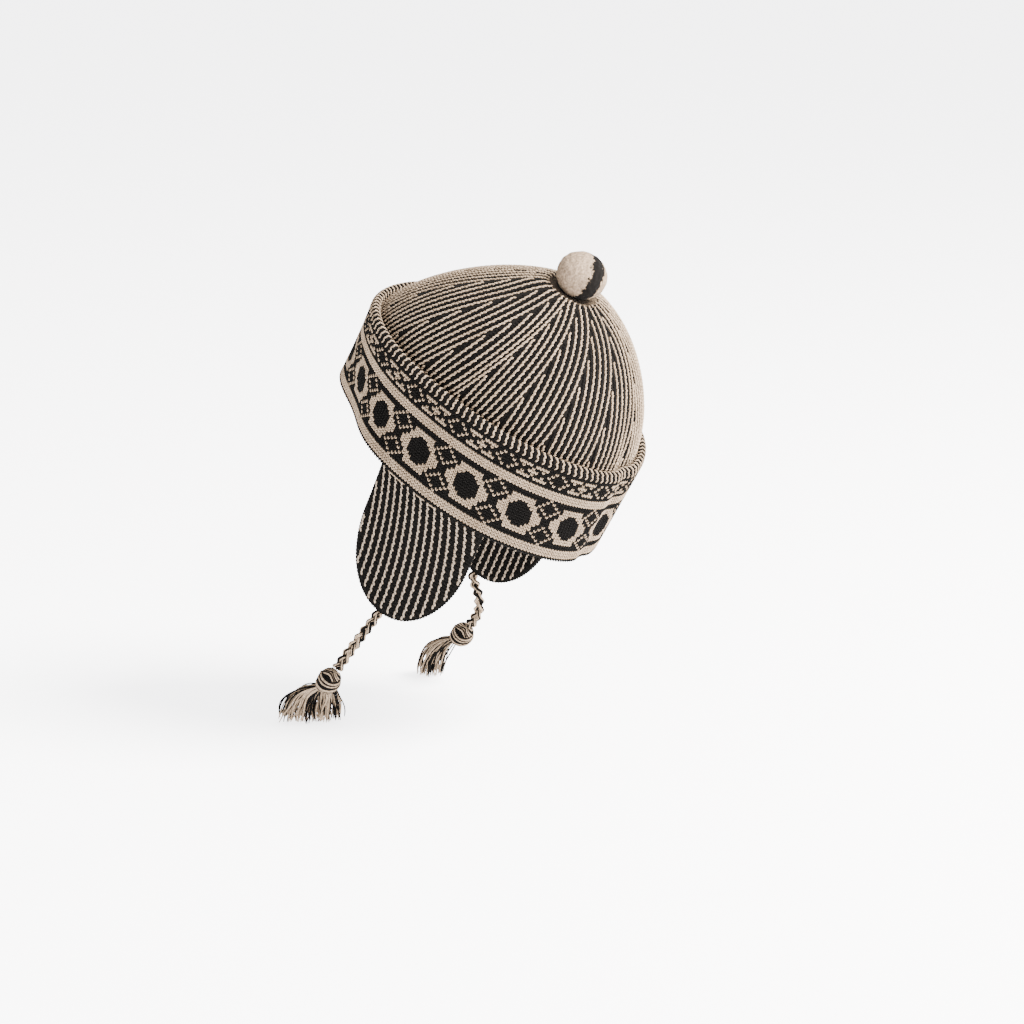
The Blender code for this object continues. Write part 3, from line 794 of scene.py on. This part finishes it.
# Shells: the imported crown and cuff carry the relief. Outside they are the black wool between the stitches,
# and inside they show the same narrow ribs from the back of the knit, their beige painted darker as painted
# shade.
INSIDE_RIBS = 128
INSIDE_FLECK_SCALE = 700.0
INSIDE_FLECK = 1.4
INSIDE_RIB_LEVEL = 0.55
INSIDE_RIB_EDGE = 5.0
# How much darker than the dark beige tone the inside ribs are painted: painted shade of the hat's inside.
INSIDE_PAINTED_SHADE = 0.8


def shell_wool(name):
    """Black wool with ragged beige ribs on the faces that point to the hat's axis, their beige darkened as
    painted shade.
    """
    material = wool(name, BLACK_LIGHT, BLACK_DARK)
    tree = material.node_tree
    shader = tree.nodes["Principled BSDF"]
    start = Shade(tree)
    place = start.add("ShaderNodeTexCoord", output="Object")
    normal = start.add("ShaderNodeNewGeometry", output="Normal")
    width = place.along(SIDE)
    length = place.along(BACK)
    outward = normal.along(SIDE) * width + normal.along(BACK) * length
    inside = start.math("LESS_THAN", outward, 0.0)
    angle = start.math("ARCTAN2", width, length)
    wave = start.math("SINE", angle * INSIDE_RIBS) * 0.5 + 0.5
    fleck = start.add("ShaderNodeTexNoise", None,
                      {"Vector": place, "Scale": INSIDE_FLECK_SCALE, "Detail": 2.0})
    level = wave + (fleck - 0.5) * INSIDE_FLECK - INSIDE_RIB_LEVEL
    beige = (level * INSIDE_RIB_EDGE).clamped() * inside
    # The inside ribs take the dark beige tone darkened further: painted shade of the hat's inside, not a
    # colour of the wool.
    shaded_inside_beige = tuple(channel * INSIDE_PAINTED_SHADE for channel in BEIGE_DARK[:3]) + (1.0,)
    colour = beige.mixed(BLACK_LIGHT, shaded_inside_beige)
    tree.links.new(colour.socket, shader.inputs["Base Color"])
    return material


shell_material = shell_wool("shell wool")
for node in ("crown", "cuff"):
    for material_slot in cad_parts[node].material_slots:
        material_slot.material = shell_material

# Earflaps: the crown's knit carried on below the rim, rounded at the end. Thin beige ribs stand between
# black ones on both faces, and a black chain runs round the edge. The right flap mirrors the left one.
FLAP_BACK_SHIFT = 22.0
FLAP_HALF_WIDTH = 37.3
FLAP_LENGTH = 89.5
FLAP_STRAIGHT = 37.0
FLAP_ROUNDNESS = 2.13
FLAP_BACK_SLANT = 0.032
FLAP_WALL = 2.6
FLAP_INWARD_LEAN = 12.0
FLAP_FLATTENING = 0.6
FLAP_INSET = 4.0
FLAP_TOP = 1.7
FLAP_RIB_PITCH = 5.1
FLAP_RIB_LEAN = 0.30
FLAP_RIB_CURVE = 0.0014
FLAP_RIB_NUMBERS = np.arange(-20, 16)
FLAP_RIBS = (
    # colour, places in their pitch, half width, lift
    ("beige", (0.0,), 0.82, 0.3),
    ("black", (0.34, 0.5, 0.66), 0.6, 0.05),
)
FLAP_FIRST_BEAD = 0.4
FLAP_BEAD_SPACING = 2.3
FLAP_BEAD_THICKNESS = 0.5
FLAP_BEAD_LENGTH = 0.7
FLAP_BEAD_LEAN = 0.3
FLAP_BEAD_SWING = 0.25
FLAP_BEAD_SHIFT = 0.2
FLAP_EDGE_MARGIN = 1.3
FLAP_EDGE_STEP = 0.5
FLAP_END_SWEEP = 1.5708
CHAIN_START = 0.5
CHAIN_SPACING = 2.2
CHAIN_HALF_WIDTH = 0.6
CHAIN_LENGTH = 0.72
CHAIN_DEPTH = 0.36
CHAIN_INSET = 0.3
CHAIN_TURN = 0.35
FLAP_BEIGE_LIGHT = (0.31, 0.245, 0.185, 1.0)
FLAP_BEIGE_DARK = (0.16, 0.125, 0.095, 1.0)
FLAP_MIRRORS = {"left": np.array((1.0, 1.0, 1.0)), "right": np.array((-1.0, 1.0, 1.0))}

flap_beige_wool = wool("flap beige wool", FLAP_BEIGE_LIGHT, FLAP_BEIGE_DARK)


def rim_side(along):
    """Sideways distance of the hat's wall at the flap's seam, at a distance towards the back."""
    half_ring = wall_point(ring_angles[RING_STEPS // 2::-1], FLAP_TOP, FLAP_INSET)
    return np.interp(along, half_ring @ BACK, half_ring @ SIDE)


def flap_half_width(down):
    share = np.clip((down - FLAP_STRAIGHT) / (FLAP_LENGTH - FLAP_STRAIGHT), 0.0, 1.0)
    return FLAP_HALF_WIDTH * (1 - share ** 2) ** (1 / FLAP_ROUNDNESS)


def flap_point(across, down):
    """The left flap's outer face, as packed: across from its middle to the back, down from its seam."""
    share = down / FLAP_LENGTH
    on_rim = rim_side(FLAP_BACK_SHIFT + across)
    middle = rim_side(FLAP_BACK_SHIFT)
    lean = FLAP_INWARD_LEAN * (1 - (1 - share) ** 2)
    width = on_rim + (middle - on_rim) * FLAP_FLATTENING * share - lean
    drop = np.sqrt(np.maximum(down ** 2 - lean ** 2, 0.0))
    return placed(FLAP_BACK_SHIFT + across + FLAP_BACK_SLANT * down, width, FLAP_TOP - drop)


def flap_frame(across, down):
    """Points of the flap's outer face with their downward and outward directions."""
    step = 0.05
    downward = unit(flap_point(across, down + step) - flap_point(across, down - step))
    backward = unit(flap_point(across + step, down) - flap_point(across - step, down))
    return flap_point(across, down), downward, unit(np.cross(downward, backward))


def flap_stitches(rib_shift):
    """Places along the flap's ribs, on its outer face: across and down, and each bead's turn there."""
    starts = (FLAP_RIB_NUMBERS + rib_shift) * FLAP_RIB_PITCH
    bead_rows = np.arange(int(FLAP_LENGTH / FLAP_BEAD_SPACING))
    start, row = (grid.ravel() for grid in np.meshgrid(starts, bead_rows))
    zigzag = np.where(row % 2, 1.0, -1.0)
    down = FLAP_FIRST_BEAD + row * FLAP_BEAD_SPACING
    across = start + FLAP_RIB_LEAN * down - FLAP_RIB_CURVE * down ** 2 + FLAP_BEAD_SHIFT * zigzag
    edge = flap_half_width(np.minimum(down + FLAP_EDGE_MARGIN, FLAP_LENGTH)) - FLAP_EDGE_MARGIN
    inside = (down < FLAP_LENGTH - FLAP_EDGE_MARGIN) & (np.abs(across) < edge)
    turn = np.arctan(FLAP_RIB_LEAN - 2 * FLAP_RIB_CURVE * down) + FLAP_BEAD_LEAN
    turn = turn + FLAP_BEAD_SWING * zigzag
    return across[inside], down[inside], turn[inside]


def mirrored(batches, side):
    """Stitches of the left flap, carried to one side of the hat."""
    mirror = FLAP_MIRRORS[side]
    return [(centres * mirror, ups * mirror, normals * mirror, sizes)
            for centres, ups, normals, sizes in batches]


flap_beads = {"beige": [], "black": []}
for colour, shifts, half_width, lift in FLAP_RIBS:
    for rib_shift in shifts:
        across, down, turn = flap_stitches(rib_shift)
        point, downward, normal = flap_frame(across, down)
        along_rib = turned(downward, normal, turn)
        size = np.tile((half_width, FLAP_BEAD_THICKNESS, FLAP_BEAD_SPACING * FLAP_BEAD_LENGTH),
                       (len(across), 1))
        for face, depth in ((1, 0.0), (-1, FLAP_WALL)):
            centre = point - normal * depth + normal * face * lift
            flap_beads[colour].append((centre, along_rib, normal * face, size))

edge_downs = np.concatenate([
    np.arange(0.0, FLAP_STRAIGHT, FLAP_EDGE_STEP),
    FLAP_STRAIGHT + (FLAP_LENGTH - FLAP_STRAIGHT) * np.sin(np.linspace(0, FLAP_END_SWEEP, 120))])
back_edge = np.stack([flap_half_width(edge_downs), edge_downs], axis=1)
edge_line = np.concatenate([back_edge * (-1, 1), back_edge[::-1]])
edge_walk = walk_along(flap_point(edge_line[:, 0], edge_line[:, 1]))
places = np.arange(CHAIN_START, edge_walk[-1], CHAIN_SPACING)
point, downward, normal = flap_frame(np.interp(places, edge_walk, edge_line[:, 0]),
                                     np.interp(places, edge_walk, edge_line[:, 1]))
ahead = unit(np.gradient(point, axis=0))
outwards = unit(np.cross(ahead, normal))
size = np.tile((CHAIN_HALF_WIDTH, CHAIN_HALF_WIDTH, CHAIN_SPACING * CHAIN_LENGTH), (len(places), 1))
for face in (1, -1):
    chain = point - normal * FLAP_WALL / 2 + normal * face * FLAP_WALL * CHAIN_DEPTH - outwards * CHAIN_INSET
    twist = turned(ahead, normal * face, CHAIN_TURN)
    flap_beads["black"].append((chain, twist, normal * face, size))

for side in ("left", "right"):
    for colour, material in (("beige", flap_beige_wool), ("black", black_wool)):
        lay_stitches(side + "_flap_" + colour + "_ribs", fine_grain, mirrored(flap_beads[colour], side),
                     material)
    for material_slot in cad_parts[side + "_flap"].material_slots:
        material_slot.material = black_wool

# Tacking: four long stitches of beige wool just below the cuff, sewn through each flap and the crown's edge
# to hold them together.
TACK_STARTS = (-31.0, -24.0, -8.0, 0.5)
TACK_LENGTH = 7.4
TACK_DROP = 4.2
TACK_HALF_WIDTH = 0.55
TACK_HALF_THICKNESS = 0.6
TACK_LIFT = 0.5

across = np.array(TACK_STARTS) + TACK_LENGTH / 2
point, downward, normal = flap_frame(across, np.full(len(across), TACK_DROP))
size = np.tile((TACK_HALF_WIDTH, TACK_HALF_THICKNESS, TACK_LENGTH / 2), (len(across), 1))
tacks = [(point + normal * TACK_LIFT, np.cross(normal, downward), normal, size)]
lay_stitches("flap_tacking", stitch_shape(8, 8), mirrored(tacks, "left") + mirrored(tacks, "right"),
             beige_wool)

# Pompom: a small ball of felted wool, beige with one band of black fibres felted into it, sewn down into
# the gathers at the top of the crown.
POMPOM_HEIGHT = 141.4
POMPOM_CENTRE = BACK * CROWN_BACK_SHIFT + AXIS * POMPOM_HEIGHT
POMPOM_RADIUS = 15.0
POMPOM_SQUASH = 0.9
FELT_WAVES = 40
FELT_SEED = 100
FELT_WAVE_SPEED = (6, 34)
FELT_SWELLING = 0.03
FELT_FLECK_SCALE = 900.0
FELT_RELIEF = 0.5
BAND_ACROSS = 0.92
BAND_DOWN = 0.39
BAND_AWAY = 0.5
BAND_OFFSET = 2.9
BAND_HALF_WIDTH = 4.6
BAND_JAG = 9.0
BAND_JAG_SCALE = 250.0
BAND_FRAY = 2.8
BAND_FRAY_SCALE = 1500.0
BAND_EDGE = 2.2
BALL_BEIGE_LIGHT = (0.29, 0.212, 0.146, 1.0)
BALL_BEIGE_DARK = (0.12, 0.086, 0.057, 1.0)

bpy.ops.object.select_all(action="DESELECT")
bpy.ops.mesh.primitive_ico_sphere_add(subdivisions=6, radius=POMPOM_RADIUS * MM)
pompom = bpy.context.active_object
pompom.name = "pompom_felt"
corners = np.array([corner.co[:] for corner in pompom.data.vertices]) / MM
headings = unit(corners)
swellings = np.zeros(len(corners))
for wave in range(FELT_WAVES):
    draw = np.random.default_rng(FELT_SEED + wave)
    direction = unit(draw.normal(size=3))
    speed = draw.uniform(*FELT_WAVE_SPEED)
    swellings += np.sin(headings @ direction * speed + draw.uniform(0, 6.28)) * FELT_SWELLING
corners = headings * (POMPOM_RADIUS + swellings)[:, None]
corners = corners - AXIS * ((corners @ AXIS) * (1 - POMPOM_SQUASH))[:, None] + POMPOM_CENTRE
pompom.data.vertices.foreach_set("co", (corners * MM).ravel())
pompom.data.shade_smooth()

felt = wool("pompom felt", BALL_BEIGE_LIGHT, BALL_BEIGE_DARK, FELT_FLECK_SCALE, FELT_RELIEF)
tree = felt.node_tree
shader = tree.nodes["Principled BSDF"]
start = Shade(tree)
place = start.add("ShaderNodeTexCoord", output="Object")
band_normal = unit(BAND_ACROSS * np.array(view_right) - BAND_DOWN * np.array(view_up)
                   - BAND_AWAY * np.array(toward_camera))
jag = start.add("ShaderNodeTexNoise", None,
                {"Vector": place, "Scale": BAND_JAG_SCALE, "Detail": 3.0, "Roughness": 0.6})
fray = start.add("ShaderNodeTexNoise", None, {"Vector": place, "Scale": BAND_FRAY_SCALE, "Detail": 2.0})
band_middle = float(POMPOM_CENTRE @ band_normal) + BAND_OFFSET
away = start.math("ABSOLUTE", place.along(band_normal) * (1 / MM) - band_middle)
edge = away + (jag - 0.5) * BAND_JAG + (fray - 0.5) * BAND_FRAY
black_share = ((BAND_HALF_WIDTH - edge) * BAND_EDGE).clamped()
beige_felt = Shade(tree, shader.inputs["Base Color"].links[0].from_socket)
tree.links.new(black_share.mixed(beige_felt, BLACK_LIGHT).socket, shader.inputs["Base Color"])
pompom.data.materials.append(felt)
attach(pompom, "root")
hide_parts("pompom")

# Floor and light: a pale studio floor that glows a little, one large soft lamp to the upper right and a fill
# that is stronger from the right than from the left.
FLOOR_SIZE = 40.0
FLOOR_COLOUR = (0.90, 0.90, 0.91, 1.0)
FLOOR_ROUGHNESS = 0.9
FLOOR_GLOW_COLOUR = (1.0, 0.99, 1.0, 1.0)
FLOOR_GLOW = 3.4
KEY_RIGHT = 1.5
KEY_UP = 1.6
KEY_NEAR = 0.5
KEY_SIZE = 1.1
KEY_POWER = 400.0
KEY_COLOUR = (1.0, 0.97, 0.93)
SKY_COLOUR = (0.98, 0.98, 1.0, 1.0)
SKY_STRENGTH = 2.2
SKY_SLOPE = 1.7

bpy.ops.object.select_all(action="DESELECT")
bpy.ops.mesh.primitive_plane_add(size=FLOOR_SIZE, location=(0.0, 0.0, TABLE_Z * MM))
floor = bpy.context.active_object
floor.name = "floor"
floor_paint = bpy.data.materials.new("floor paint")
floor_paint.use_nodes = True
floor_shader = floor_paint.node_tree.nodes["Principled BSDF"]
floor_shader.inputs["Base Color"].default_value = FLOOR_COLOUR
floor_shader.inputs["Roughness"].default_value = FLOOR_ROUGHNESS
floor_shader.inputs["Emission Color"].default_value = FLOOR_GLOW_COLOUR
floor_shader.inputs["Emission Strength"].default_value = FLOOR_GLOW
floor.data.materials.append(floor_paint)

key_place = VIEW_TARGET + view_right * KEY_RIGHT + Vector((0.0, 0.0, KEY_UP)) + toward_camera * KEY_NEAR
key_data = bpy.data.lights.new("key light", "AREA")
key_data.shape = "DISK"
key_data.size = KEY_SIZE
key_data.energy = KEY_POWER
key_data.color = KEY_COLOUR
key = bpy.data.objects.new("key light", key_data)
key.matrix_world = Matrix.Translation(key_place) @ (
    VIEW_TARGET - key_place).to_track_quat("-Z", "Y").to_matrix().to_4x4()
bpy.context.scene.collection.objects.link(key)

world = bpy.data.worlds.new("studio")
world.use_nodes = True
sky = world.node_tree.nodes["Background"]
sky.inputs["Color"].default_value = SKY_COLOUR
direction = Shade(world.node_tree).add("ShaderNodeTexCoord", output="Generated")
strength = direction.along(view_right) * SKY_SLOPE + SKY_STRENGTH
world.node_tree.links.new(strength.socket, sky.inputs["Strength"])
bpy.context.scene.world = world
